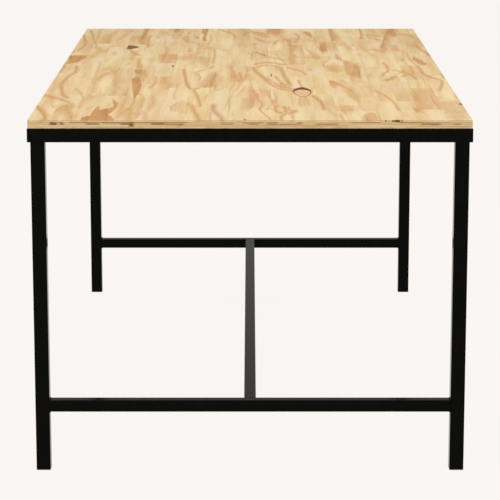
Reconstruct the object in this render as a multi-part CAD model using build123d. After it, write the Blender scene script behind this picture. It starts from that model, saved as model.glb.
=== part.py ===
"""Butcher block table.

A panel faced with rows of glued staves lies on a frame of mitred steel angle. Four tube legs stand
inside the corners of the angle. A low stretcher joins the two legs of each end, and one long
stretcher joins the two end stretchers. X is the width, Y the length and Z is up. The origin is on
the floor under the middle of the top. All values are millimetres.
"""

import os

from build123d import *

# Overall size
TABLE_WIDTH = 917.0
TABLE_LENGTH = 1740.0
TABLE_HEIGHT = 750.0

# Panel: a layer of staves on each face and two cross plies between them
PANEL_SETBACK = 1.5
FACE_STAVE_THICKNESS = 4.2
UPPER_PLY_THICKNESS = 6.2
LOWER_PLY_THICKNESS = 3.0
BACK_STAVE_THICKNESS = 4.6
STAVE_ROWS = 20

# Top frame: steel angle, one flange flat under the panel and the other hanging at its edge
ANGLE_SIZE = 28.0
ANGLE_THICKNESS = 6.0
ANGLE_HEEL_RADIUS = 1.0
ANGLE_TOE_RADIUS = 2.5

# Square steel tube
LEG_SIZE = 30.0
LEG_CORNER_RADIUS = 2.2
STRETCHER_SIZE = 25.0
STRETCHER_CORNER_RADIUS = 2.0
TUBE_WALL = 2.0
TUBE_INNER_RADIUS = 0.4
STRETCHER_TOP = 153.0

# Plastic cap under each leg: a foot plate and a ribbed plug that grips the inside of the tube
CAP_PLATE_THICKNESS = 4.0
CAP_EDGE_RADIUS = 1.8
CAP_PLUG_HEIGHT = 18.0
CAP_PLUG_WALL = 2.5
CAP_PLUG_RADIUS = 0.8
CAP_RIB_COUNT = 3
CAP_RIB_HEIGHT = 1.6
CAP_RIB_PITCH = 5.0
CAP_RIB_CLEARANCE = 0.05
CAP_CORE_GAP = 0.4

# Weld beads
LEG_BEAD = 3.0
STRETCHER_BEAD = 2.5
BEAD_HOLLOW = 0.42

# Pan-head screws that hold the panel down, driven up through the flange
SCREW_SHANK_RADIUS = 2.0
SCREW_POINT_RADIUS = 0.6
SCREW_POINT_LENGTH = 3.0
SCREW_REACH_IN_PANEL = 12.5
SCREW_HEAD_RADIUS = 4.2
SCREW_HEAD_HEIGHT = 2.6
SCREW_HEAD_EDGE = 0.9
SCREW_RECESS_RADIUS = 1.5
SCREW_RECESS_DEPTH = 1.4
PILOT_CLEARANCE = 0.05
FLANGE_HOLE_RADIUS = 2.4
SCREW_INSET = 18.5
SCREW_END_MARGIN = 95.0
SCREWS_PER_SIDE = 5
SCREWS_PER_END = 3

# Worked out from the sizes above
PANEL_WIDTH = TABLE_WIDTH - 2 * PANEL_SETBACK
PANEL_LENGTH = TABLE_LENGTH - 2 * PANEL_SETBACK
FACE_STAVE_BOTTOM = TABLE_HEIGHT - FACE_STAVE_THICKNESS
UPPER_PLY_BOTTOM = FACE_STAVE_BOTTOM - UPPER_PLY_THICKNESS
LOWER_PLY_BOTTOM = UPPER_PLY_BOTTOM - LOWER_PLY_THICKNESS
PANEL_BOTTOM = LOWER_PLY_BOTTOM - BACK_STAVE_THICKNESS
ROW_WIDTH = PANEL_WIDTH / STAVE_ROWS
FLANGE_BOTTOM = PANEL_BOTTOM - ANGLE_THICKNESS
FRAME_BOTTOM = PANEL_BOTTOM - ANGLE_SIZE
LEG_X = TABLE_WIDTH / 2 - ANGLE_THICKNESS - LEG_SIZE / 2
LEG_Y = TABLE_LENGTH / 2 - ANGLE_THICKNESS - LEG_SIZE / 2
LEG_INNER_X = LEG_X - LEG_SIZE / 2
LEG_INNER_Y = LEG_Y - LEG_SIZE / 2
END_STRETCHER_Y = LEG_Y + (LEG_SIZE - STRETCHER_SIZE) / 2
END_STRETCHER_INNER_Y = END_STRETCHER_Y - STRETCHER_SIZE / 2
END_STRETCHER_BOTTOM = STRETCHER_TOP - STRETCHER_SIZE

# Distances from the front edge of the panel to the butt joints of each face row, left to right
FACE_JOINTS = (
    (335, 760, 1112, 1480),
    (240, 655, 1010, 1370),
    (410, 815, 1290),
    (365, 840, 1205, 1560),
    (180, 565, 1065, 1410),
    (300, 700, 955, 1330),
    (495, 930, 1185, 1545),
    (225, 500, 860, 1300),
    (450, 795, 1240, 1600),
    (330, 735, 1120, 1455),
    (150, 620, 1045, 1390),
    (470, 905, 1220, 1500),
    (200, 690, 950, 1350),
    (385, 790, 1250, 1575),
    (225, 660, 1095, 1430),
    (130, 540, 980, 1310),
    (420, 870, 1165, 1520),
    (275, 610, 1075, 1385),
    (155, 485, 920, 1265, 1610),
    (290, 720, 1140, 1495),
)

# The rows of the back face repeat these joints with a growing shift, then start again
BACK_JOINTS = (290, 720, 1130, 1490)
BACK_SHIFT = 83
BACK_SHIFT_CYCLE = 5

SIDES = {"left": -1, "right": 1}
ENDS = {"front": -1, "back": 1}


def block(size, centre):
    """Box with its size and its centre given as (x, y, z)."""
    return Pos(*centre) * Box(*size)


def screw_places():
    """X and Y of every panel screw, along the side rails and then the end rails."""
    side_span = TABLE_LENGTH - 2 * SCREW_END_MARGIN
    end_span = TABLE_WIDTH - 2 * SCREW_END_MARGIN
    places = []
    for side in SIDES.values():
        for step in range(SCREWS_PER_SIDE):
            along = (step / (SCREWS_PER_SIDE - 1) - 0.5) * side_span
            places.append((side * (TABLE_WIDTH / 2 - SCREW_INSET), along))
    for end in ENDS.values():
        for step in range(SCREWS_PER_END):
            along = (step / (SCREWS_PER_END - 1) - 0.5) * end_span
            places.append((along, end * (TABLE_LENGTH / 2 - SCREW_INSET)))
    return places


def screw_shaft(growth):
    """Shank and point of a screw, point up, from the underside of the flange."""
    radius = SCREW_SHANK_RADIUS + growth
    straight = ANGLE_THICKNESS + SCREW_REACH_IN_PANEL - SCREW_POINT_LENGTH
    shank = Pos(0, 0, straight / 2) * Cylinder(radius, straight)
    point = Cone(radius, SCREW_POINT_RADIUS + growth, SCREW_POINT_LENGTH)
    return shank + Pos(0, 0, straight + SCREW_POINT_LENGTH / 2) * point


def panel_screw():
    """One whole screw, point up, with its head under z = 0."""
    head = Pos(0, 0, -SCREW_HEAD_HEIGHT / 2) * Cylinder(SCREW_HEAD_RADIUS, SCREW_HEAD_HEIGHT)
    head = fillet(head.edges().group_by(Axis.Z)[0], SCREW_HEAD_EDGE)
    recess = extrude(RegularPolygon(SCREW_RECESS_RADIUS, 6), SCREW_RECESS_DEPTH)
    return head + screw_shaft(0) - Pos(0, 0, -SCREW_HEAD_HEIGHT) * recess


def screws_at(piece):
    """X and Y of each panel screw that reaches into the piece's outline, seen from above."""
    box = piece.bounding_box()
    margin = SCREW_SHANK_RADIUS + PILOT_CLEARANCE
    for x, y in screw_places():
        within_x = box.min.X - margin < x < box.max.X + margin
        within_y = box.min.Y - margin < y < box.max.Y + margin
        if within_x and within_y:
            yield x, y


def piloted(piece):
    """The piece less a pilot hole for each screw."""
    for x, y in screws_at(piece):
        piece -= Pos(x, y, FLANGE_BOTTOM) * screw_shaft(PILOT_CLEARANCE)
    return piece


def stave_row(row, joints, bottom, thickness):
    """Staves of one row, end to end, with their undersides at the height bottom."""
    x = -PANEL_WIDTH / 2 + (row + 0.5) * ROW_WIDTH
    z = bottom + thickness / 2
    stations = [0, *joints, PANEL_LENGTH]
    staves = []
    for start, end in zip(stations, stations[1:]):
        y = -PANEL_LENGTH / 2 + (start + end) / 2
        staves.append(block((ROW_WIDTH, end - start, thickness), (x, y, z)))
    return staves


def back_staves():
    """All staves of the panel's underside."""
    staves = []
    for row in range(STAVE_ROWS):
        shift = BACK_SHIFT * (row * 2 % BACK_SHIFT_CYCLE - BACK_SHIFT_CYCLE // 2)
        joints = [joint + shift for joint in BACK_JOINTS]
        pieces = stave_row(row, joints, PANEL_BOTTOM, BACK_STAVE_THICKNESS)
        staves += [piloted(stave) for stave in pieces]
    return staves


def cross_ply(bottom, thickness):
    """One full-size ply with its underside at the height bottom."""
    return piloted(block((PANEL_WIDTH, PANEL_LENGTH, thickness), (0, 0, bottom + thickness / 2)))


def rail(length, half_span):
    """Angle rail along X with its outer face at y = half_span, mitred at both ends."""
    section = FilletPolyline(
        (0, 0),
        (ANGLE_SIZE, 0),
        (ANGLE_SIZE, -ANGLE_THICKNESS),
        (ANGLE_THICKNESS, -ANGLE_THICKNESS),
        (ANGLE_THICKNESS, -ANGLE_SIZE),
        (0, -ANGLE_SIZE),
        radius=(ANGLE_HEEL_RADIUS, 0, ANGLE_TOE_RADIUS, 0, ANGLE_TOE_RADIUS, 0),
        close=True,
    )
    start = Plane((length / 2, half_span, PANEL_BOTTOM), x_dir=(0, -1, 0), z_dir=(-1, 0, 0))
    bar = extrude(start * make_face(section), length)
    reach = 2 * ANGLE_SIZE
    for side in SIDES.values():
        waste = make_face(Polyline((0, 0), (0, -reach), (-side * reach, -reach), close=True))
        corner = Pos(side * length / 2, half_span, PANEL_BOTTOM)
        bar -= corner * extrude(waste, reach, both=True)
    return bar


def with_screw_holes(bar):
    """The rail with a clearance hole through its flange for each screw along it."""
    for x, y in screws_at(bar):
        hole_z = PANEL_BOTTOM - ANGLE_THICKNESS / 2
        bar -= Pos(x, y, hole_z) * Cylinder(FLANGE_HOLE_RADIUS, 2 * ANGLE_THICKNESS)
    return bar


def tube(size, length, radius):
    """Square tube along Z, centred on the origin."""
    bore = size - 2 * TUBE_WALL
    ring = RectangleRounded(size, size, radius) - RectangleRounded(bore, bore, TUBE_INNER_RADIUS)
    return extrude(ring, length / 2, both=True)


def leg(x, y):
    """Leg from the top of its cap up to the flange."""
    height = FLANGE_BOTTOM - CAP_PLATE_THICKNESS
    return Pos(x, y, CAP_PLATE_THICKNESS + height / 2) * tube(LEG_SIZE, height, LEG_CORNER_RADIUS)


def foot_cap(x, y):
    """Foot plate on the floor with its hollow ribbed plug inside the leg."""
    plate = extrude(RectangleRounded(LEG_SIZE, LEG_SIZE, LEG_CORNER_RADIUS), CAP_PLATE_THICKNESS)
    plate = fillet(plate.edges().group_by(Axis.Z)[0], CAP_EDGE_RADIUS)
    rib_size = LEG_SIZE - 2 * (TUBE_WALL + CAP_RIB_CLEARANCE)
    core_size = rib_size - 2 * CAP_CORE_GAP
    bore = core_size - 2 * CAP_PLUG_WALL
    plug = extrude(RectangleRounded(core_size, core_size, CAP_PLUG_RADIUS), CAP_PLUG_HEIGHT)
    for step in range(CAP_RIB_COUNT):
        rib = extrude(RectangleRounded(rib_size, rib_size, CAP_PLUG_RADIUS), CAP_RIB_HEIGHT)
        plug += Pos(0, 0, (step + 0.5) * CAP_RIB_PITCH) * rib
    plug -= extrude(RectangleRounded(bore, bore, CAP_PLUG_RADIUS), CAP_PLUG_HEIGHT)
    return Pos(x, y, 0) * (plate + Pos(0, 0, CAP_PLATE_THICKNESS) * plug)


def end_stretcher(end):
    """Low tube between the two legs of one end, flush with their outer faces."""
    bar = tube(STRETCHER_SIZE, 2 * LEG_INNER_X, STRETCHER_CORNER_RADIUS)
    z = STRETCHER_TOP - STRETCHER_SIZE / 2
    return Pos(0, end * END_STRETCHER_Y, z) * Rot(0, 90, 0) * bar


def long_stretcher():
    """Tube along the middle, from one end stretcher to the other, flush with their tops."""
    bar = tube(STRETCHER_SIZE, 2 * END_STRETCHER_INNER_Y, STRETCHER_CORNER_RADIUS)
    return Pos(0, 0, STRETCHER_TOP - STRETCHER_SIZE / 2) * Rot(90, 0, 0) * bar


def bead(size, length, centre, first, second):
    """Fillet weld with a hollow face, in the corner between two faces that run out along the
    unit vectors first and second; centre is the middle of the corner line."""
    edge = make_face(
        [
            Line((0, 0), (size, 0)),
            ThreePointArc((size, 0), (size * BEAD_HOLLOW, size * BEAD_HOLLOW), (0, size)),
            Line((0, size), (0, 0)),
        ]
    )
    along = Vector(*first).cross(Vector(*second))
    return Plane(centre, x_dir=first, z_dir=along) * extrude(edge, length / 2, both=True)


def leg_welds():
    """Two upright beads on each leg, one against each rail's hanging flange."""
    length = ANGLE_SIZE - ANGLE_THICKNESS - ANGLE_TOE_RADIUS
    z = FLANGE_BOTTOM - length / 2
    flange_x = TABLE_WIDTH / 2 - ANGLE_THICKNESS
    flange_y = TABLE_LENGTH / 2 - ANGLE_THICKNESS
    beads = []
    for side in SIDES.values():
        for end in ENDS.values():
            directions = (-side, 0, 0), (0, -end, 0)
            for x, y in ((LEG_INNER_X, flange_y), (flange_x, LEG_INNER_Y)):
                beads.append(bead(LEG_BEAD, length, (side * x, end * y, z), *directions))
    return beads


def stretcher_welds():
    """Beads over, under and behind the ends of the end stretchers, and beside the long one."""
    middle_z = STRETCHER_TOP - STRETCHER_SIZE / 2
    length = STRETCHER_SIZE - 2 * STRETCHER_CORNER_RADIUS
    beads = []
    for end in ENDS.values():
        inner_y = end * END_STRETCHER_INNER_Y
        for side in SIDES.values():
            inward = (-side, 0, 0)
            x = side * LEG_INNER_X
            for z, away in ((STRETCHER_TOP, 1), (END_STRETCHER_BOTTOM, -1)):
                corner = (x, end * END_STRETCHER_Y, z)
                beads.append(bead(STRETCHER_BEAD, length, corner, inward, (0, 0, away)))
            corner = (x, inner_y, middle_z)
            beads.append(bead(STRETCHER_BEAD, length, corner, inward, (0, -end, 0)))
            corner = (side * STRETCHER_SIZE / 2, inner_y, middle_z)
            beads.append(bead(STRETCHER_BEAD, length, corner, (side, 0, 0), (0, -end, 0)))
    return beads


def build_nodes():
    """Every node of the table by name, each with its list of solids."""
    nodes = {}
    for row, joints in enumerate(FACE_JOINTS):
        staves = stave_row(row, joints, FACE_STAVE_BOTTOM, FACE_STAVE_THICKNESS)
        nodes[f"face_stave_row_{row + 1:02d}"] = staves
    nodes["upper_cross_ply"] = [cross_ply(UPPER_PLY_BOTTOM, UPPER_PLY_THICKNESS)]
    nodes["lower_cross_ply"] = [cross_ply(LOWER_PLY_BOTTOM, LOWER_PLY_THICKNESS)]
    nodes["back_staves"] = back_staves()
    nodes["panel_screws"] = [Pos(x, y, FLANGE_BOTTOM) * panel_screw() for x, y in screw_places()]

    end_rail = rail(TABLE_WIDTH, TABLE_LENGTH / 2)
    side_rail = rail(TABLE_LENGTH, TABLE_WIDTH / 2)
    for name, turn, bar in (
        ("top_rail_back", 0, end_rail),
        ("top_rail_left", 90, side_rail),
        ("top_rail_front", 180, end_rail),
        ("top_rail_right", 270, side_rail),
    ):
        nodes[name] = [with_screw_holes(Rot(0, 0, turn) * bar)]

    for end_name, end in ENDS.items():
        for side_name, side in SIDES.items():
            place = side * LEG_X, end * LEG_Y
            nodes[f"leg_{end_name}_{side_name}"] = [leg(*place)]
            nodes[f"foot_cap_{end_name}_{side_name}"] = [foot_cap(*place)]
        nodes[f"end_stretcher_{end_name}"] = [end_stretcher(end)]
    nodes["long_stretcher"] = [long_stretcher()]
    nodes["leg_welds"] = leg_welds()
    nodes["stretcher_welds"] = stretcher_welds()
    return nodes


def write_nodes(nodes):
    """One STEP file for each node."""
    os.makedirs("parts", exist_ok=True)
    for name, pieces in nodes.items():
        solids = [solid for piece in pieces for solid in piece.solids()]
        shape = solids[0] if len(solids) == 1 else Compound(children=solids)
        shape.label = name
        export_step(shape, f"parts/{name}.step")


write_nodes(build_nodes())
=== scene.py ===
import math
import random

import bpy
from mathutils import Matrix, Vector, noise


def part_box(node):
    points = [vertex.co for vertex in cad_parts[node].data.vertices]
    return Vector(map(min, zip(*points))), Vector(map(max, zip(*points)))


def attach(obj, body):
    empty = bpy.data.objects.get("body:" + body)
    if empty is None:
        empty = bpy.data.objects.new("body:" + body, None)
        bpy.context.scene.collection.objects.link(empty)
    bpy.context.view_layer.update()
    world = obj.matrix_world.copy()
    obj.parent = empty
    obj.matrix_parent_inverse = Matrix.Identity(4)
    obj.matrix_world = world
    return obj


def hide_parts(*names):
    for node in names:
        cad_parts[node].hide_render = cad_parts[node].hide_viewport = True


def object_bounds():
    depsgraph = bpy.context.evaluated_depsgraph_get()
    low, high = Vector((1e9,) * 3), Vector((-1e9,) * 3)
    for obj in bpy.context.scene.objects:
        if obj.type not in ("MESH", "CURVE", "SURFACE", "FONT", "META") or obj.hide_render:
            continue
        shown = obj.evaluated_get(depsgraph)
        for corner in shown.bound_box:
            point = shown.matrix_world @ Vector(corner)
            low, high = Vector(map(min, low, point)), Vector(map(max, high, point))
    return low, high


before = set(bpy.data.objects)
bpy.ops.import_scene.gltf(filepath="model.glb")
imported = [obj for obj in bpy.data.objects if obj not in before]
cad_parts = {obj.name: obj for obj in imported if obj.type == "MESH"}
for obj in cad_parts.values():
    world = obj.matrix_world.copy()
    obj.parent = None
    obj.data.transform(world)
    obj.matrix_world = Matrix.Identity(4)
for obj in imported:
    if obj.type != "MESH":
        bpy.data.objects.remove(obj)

# The butcher block table's looks, in metres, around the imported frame. Wood figure is worked out
# in millimetres, and MM turns the one into the other.
MM = 0.001
CAD_LOW, CAD_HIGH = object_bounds()

FACE_ROWS = sorted(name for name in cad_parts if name.startswith("face_stave_row"))
PANEL_LOW, PANEL_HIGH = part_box("upper_cross_ply")
PANEL_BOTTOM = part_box("back_staves")[0].z

# Mesh detail of the panel
ARRIS_RADIUS = 0.9 * MM
ARRIS_SEGMENTS = 3
SEAM_EASE = 0.1 * MM
# The arris along the panel's front and back ends is darkened towards the glue colour, and the end grain
# shows little of the face's figure below it
ARRIS_TONE = 0.7
FIGURE_DEPTH = 0.5 * MM
END_GRAIN_SHARE = 0.25
GLUE_HEIGHT = 0.55 * MM
FACE_STEP = (1.9 * MM, 4.2 * MM)
BACK_STEP = (9 * MM, 24 * MM)
PLY_STEP = 3 * MM
PLY_LEVEL = 0.7 * MM
SMOOTH_ANGLE = math.radians(50)
# CAD points that agree to this many decimals of a metre are one point, and this near a line are on it
POINT_DIGITS = 5
LINE_MATCH = 0.05 * MM

# Seeds: steps from row to row and from stave to stave, where the back starts, and how much darker the
# underside staves are painted, as painted shade from the top rail
FACE_SEEDS = (37, 11)
BACK_SEED = 9000
BACK_SEEDS = (41, 13)
BACK_PAINTED_SHADE = -1.0
# How many staves are plain, and the slow wave and small ripple of growth rings: width, length and
# depth in millimetres, and how many rings they move the figure by
PLAIN_SHARE = 0.35
WAVE_SIZE, WAVE_RINGS = (46, 330, 40), 1.3
RIPPLE_SIZE, RIPPLE_RINGS = (21, 190, 14), 0.3
# The plies: their rings and how strongly these show, then stains: strength, depth, the noise level
# one starts at, and how fast they change in a metre, along the ply and through it
PLY_SPACING, PLY_SLOPE, PLY_FIGURE = 1.7, 1.1, 0.8
PLY_STAIN, PLY_STAIN_DEPTH, PLY_STAIN_CUT = 0.35, 1.4, 0.34
PLY_STAIN_ALONG, PLY_STAIN_THROUGH = 7, 240

# Mesh detail of the weld beads: ripples and their lag along the sides, how full they are, how they
# sway, and their thin ends
BEAD_STEP = 0.3 * MM
BEAD_FACETS = 8
BEAD_RIPPLE = 1.7 * MM
BEAD_RELIEF = 0.16
BEAD_CROWN = 0.1
BEAD_TAPER = 2.2 * MM
BEAD_TIP = 0.3
BEAD_LAG = 0.4
BEAD_SWAY, BEAD_SWAY_LENGTH = 0.1, 4 * MM
BEAD_MATCH = 0.1 * MM

# Camera: the table is seen from its front end, from a little above
CAMERA_DISTANCE = 4.5813
CAMERA_HEIGHT = 1.4329
CAMERA_PITCH = math.radians(11.772)
CAMERA_LENS = 162.38
CAMERA_SENSOR = 36.0
# The floor runs far past the table on every side, so that its end is never seen
FLOOR_REACH = 400.0
FLOOR_LOOK = {
    "Base Color": (0.03, 0.029, 0.028, 1),
    "Roughness": 0.9,
    "Specular IOR Level": 0.0,
    "Emission Color": (0.947, 0.913, 0.888, 1),
    "Emission Strength": 0.985,
}
# Lamps: name, place, what it points at, size and power
LAMPS = (
    ("softbox_top", (0.4, -0.6, 4.2), (0, 0, 0.7), 4.5, 120),
    ("softbox_front", (-1.6, -5.4, 2.0), (0, 0, 0.6), 2.8, 60),
)
WORLD_COLOUR = (1.0, 0.985, 0.97, 1)
WORLD_STRENGTH = 0.42


# ---- wood figure

class Stave:
    """How one stave or ply was cut from its log. Lengths are millimetres."""

    def __init__(self, seed):
        draw = random.Random(seed)
        self.offset = Vector((draw.uniform(0, 400), draw.uniform(0, 400), draw.uniform(0, 400)))
        self.pith_across = draw.uniform(-34, 34)
        self.pith_depth = draw.uniform(34, 120)
        self.spacing = draw.choice((6, 9, 12, 16, 22))
        self.slope = draw.uniform(-2.2, 2.2)
        self.sway = draw.uniform(0.5, 1.2)
        plain = draw.random() < PLAIN_SHARE
        self.figure = draw.uniform(0.1, 0.3) if plain else draw.uniform(0.45, 1.0)
        self.heart = draw.choice((0, 0, 0, 0.06, 0.12, 0.22)) + draw.uniform(0, 0.05)
        self.light = draw.uniform(-1, 1)
        self.seed = draw.random()

    def ring(self, across, along, depth):
        """Number of growth rings between the pith and a point of the stave."""
        across_pith = across - self.pith_across
        radius = math.hypot(across_pith, self.pith_depth - depth)

        def scaled(size):
            return Vector((across / size[0], along / size[1], depth / size[2]))

        wave = noise.noise(scaled(WAVE_SIZE) + self.offset)
        ripple = noise.noise(scaled(RIPPLE_SIZE) - self.offset)
        rings = radius / self.spacing + self.slope * along / 1000
        return rings + self.sway * (WAVE_RINGS * wave + RIPPLE_RINGS * ripple)

    def values(self):
        """The stave's own values, which a vertex carries unless its place changes them."""
        return {"heart": self.heart, "light": self.light, "own": self.seed, "figure": self.figure}


# ---- features of the face

# Lengths are millimetres, from the left edge and from the front edge of the panel.

# Heartwood stains, each a strength and a chain of (left, front, half width)
STAINS = (
    (1.0, (150, -30, 35), (145, 40, 27), (143, 85, 19), (149, 118, 15), (152, 128, 12)),
    (1.0, (124, -30, 18), (121, 18, 13), (124, 34, 10), (130, 48, 5)),
    (1.0, (135, 70, 10), (134, 130, 8), (133, 165, 6), (132, 203, 2)),
    (1.0, (155, 115, 13), (163, 150, 9), (170, 190, 5), (168, 240, 4), (160, 288, 3), (153, 335, 1.5)),
    (0.95, (203, 340, 3), (203, 400, 7), (201, 480, 11), (199, 540, 12), (195, 600, 12), (192, 640, 12)),
    (0.5, (202, 630, 17), (203, 700, 19), (201, 780, 18)),
    (0.9, (191, 770, 10), (190, 805, 11)),
    (0.5, (190, 830, 13), (188, 900, 13), (184, 960, 8)),
    (0.8, (807, 112, 6), (811, 150, 12)),
    (0.45, (832, 150, 30), (832, 280, 31), (838, 360, 26), (842, 435, 21)),
    (0.25, (890, 30, 20), (890, 100, 22)),
    (0.65, (707, -20, 20), (709, 50, 19), (711, 90, 10), (711, 122, 3)),
    (0.3, (660, 130, 18), (661, 198, 18)),
    (0.4, (782, 60, 5), (782, 104, 4)),
    (0.45, (648, 545, 14), (646, 570, 12), (641, 610, 6), (637, 642, 2)),
    (0.4, (668, 790, 12), (660, 830, 23), (658, 900, 24)),
    (0.55, (706, 860, 18), (702, 920, 15), (696, 975, 10), (684, 1020, 7), (679, 1060, 8), (676, 1110, 4),
     (675, 1190, 2)),
    (0.35, (703, 710, 8), (706, 780, 16), (706, 900, 18)),
    (1.0, (12, 948, 5), (16, 975, 10), (22, 1010, 17), (23, 1050, 21), (22, 1095, 22)),
    (0.45, (251, 1022, 21), (251, 1075, 21), (250, 1132, 17)),
    (0.4, (251, 944, 21), (251, 1018, 21)),
    (0.25, (251, 1200, 14), (251, 1300, 20)),
    (0.3, (296, 1028, 21), (297, 1090, 20)),
    (0.3, (340, 950, 14), (342, 1010, 16), (336, 1070, 15)),
    (0.75, (461, 1015, 4), (463, 1110, 7), (464, 1215, 5)),
    (0.8, (472, 1192, 4), (479, 1150, 9), (491, 1120, 8), (499, 1095, 4)),
    (0.65, (561, 925, 7), (562, 1000, 12), (563, 1060, 14), (563, 1100, 12), (562, 1170, 9),
     (568, 1240, 15), (570, 1320, 16)),
    (0.78, (646, 1225, 15), (647, 1300, 13), (650, 1350, 10), (655, 1402, 4)),
    (0.78, (880, 905, 5), (881, 940, 13), (875, 990, 14), (870, 1040, 10), (872, 1072, 4)),
    (0.8, (163, 1438, 4), (166, 1500, 9), (168, 1580, 11), (168, 1650, 10), (172, 1760, 14)),
    (0.75, (255, 1668, 14), (258, 1700, 22), (256, 1760, 24)),
    (0.35, (255, 1500, 12), (256, 1570, 17)),
    (0.95, (337, 1412, 2), (336, 1460, 6), (334, 1510, 5), (335, 1570, 4), (332, 1620, 8),
     (332, 1760, 11)),
    (0.75, (525, 1613, 20), (525, 1660, 20), (525, 1760, 21)),
    (0.85, (612, 1640, 10), (617, 1600, 9), (620, 1560, 7), (624, 1515, 3)),
    (0.65, (848, 1535, 8), (850, 1590, 13), (851, 1650, 11), (850, 1760, 18)),
    (0.4, (794, 1635, 15), (794, 1760, 14)),
    (0.5, (835, 1212, 10), (835, 1310, 13)),
)

# Staves, or parts of them, that are darker all over: by row, each with from, to and strength
TINTS = {
    1: ((945, 1108, 0.5), (1160, 1760, 0.25)),
    2: ((380, 700, 0.2), (1050, 1310, 0.3), (1370, 1760, 0.2)),
    3: ((640, 870, 0.2), (1290, 1760, 0.35)),
    4: ((365, 840, 0.3), (1360, 1760, 0.35)),
    5: ((70, 340, 0.3), (565, 900, 0.3)),
    6: ((300, 700, 0.2), (944, 1018, 0.5), (1018, 1135, 0.8), (1180, 1560, 0.2), (1560, 1760, 0.4)),
    7: ((495, 600, 0.3), (1028, 1093, 0.5), (1300, 1545, 0.25)),
    8: ((955, 1075, 0.35), (1240, 1400, 0.4), (500, 620, 0.2)),
    9: ((500, 680, 0.35), (1210, 1350, 0.2)),
    10: ((600, 900, 0.4), (1290, 1760, 0.4)),
    11: ((190, 460, 0.3), (1045, 1390, 0.35), (1390, 1700, 0.4)),
    12: ((600, 900, 0.2), (1390, 1613, 0.3), (1613, 1760, 0.9)),
    13: ((200, 345, 0.2), (925, 1300, 0.35), (1300, 1500, 0.4)),
    14: ((150, 300, 0.15), (1400, 1640, 0.2)),
    15: ((129, 204, 0.5), (540, 620, 0.3), (790, 900, 0.5), (1217, 1400, 0.4), (1430, 1700, 0.2)),
    16: ((335, 540, 0.25), (700, 900, 0.3), (1310, 1560, 0.35)),
    17: ((280, 870, 0.15), (1210, 1420, 0.4)),
    18: ((155, 490, 0.15), (625, 700, 0.3), (1165, 1240, 0.3), (1530, 1760, 0.3)),
    19: ((153, 492, 0.6), (640, 900, 0.3), (980, 1265, 0.35), (1265, 1560, 0.3), (1560, 1760, 0.6)),
    20: ((105, 268, 0.5), (30, 105, 0.25), (450, 700, 0.2), (900, 1120, 0.3), (1290, 1610, 0.5)),
}

# Dark streaks on the front edge: low and high from the left, height in the panel, half height
# and strength
EDGE_STREAKS = (
    (44, 62, 10.6, 1.5, 0.9), (62, 75, 12.8, 0.8, 0.8), (66, 76, 10.0, 1.1, 0.8),
    (84, 125, 13.2, 0.7, 0.7), (118, 150, 11.2, 1.6, 0.6), (150, 205, 12.8, 0.9, 0.7),
    (190, 216, 10.8, 1.4, 0.75), (207, 220, 9.4, 3.0, 1.0), (196, 330, 13.3, 0.6, 0.7),
    (252, 283, 10.8, 1.4, 0.85), (270, 320, 9.0, 0.7, 0.6), (306, 322, 8.8, 1.0, 0.7),
    (322, 330, 14.0, 1.4, 0.5), (395, 425, 10.6, 1.3, 0.35), (440, 486, 12.4, 0.9, 0.45),
    (452, 476, 10.0, 0.9, 0.5), (490, 515, 10.8, 1.6, 0.5), (515, 556, 9.0, 0.7, 0.5),
    (552, 566, 11.6, 1.3, 0.5), (590, 640, 9.2, 0.9, 0.5), (664, 726, 13.2, 0.7, 0.65),
    (762, 812, 13.0, 0.7, 0.6), (806, 850, 9.6, 0.8, 0.65), (800, 870, 13.0, 0.5, 0.4),
    (826, 845, 8.7, 0.8, 0.7), (872, 892, 9.4, 1.0, 0.4), (40, 300, 3.9, 0.35, 0.35),
    (800, 914, 4.9, 0.4, 0.45),
)

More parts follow.
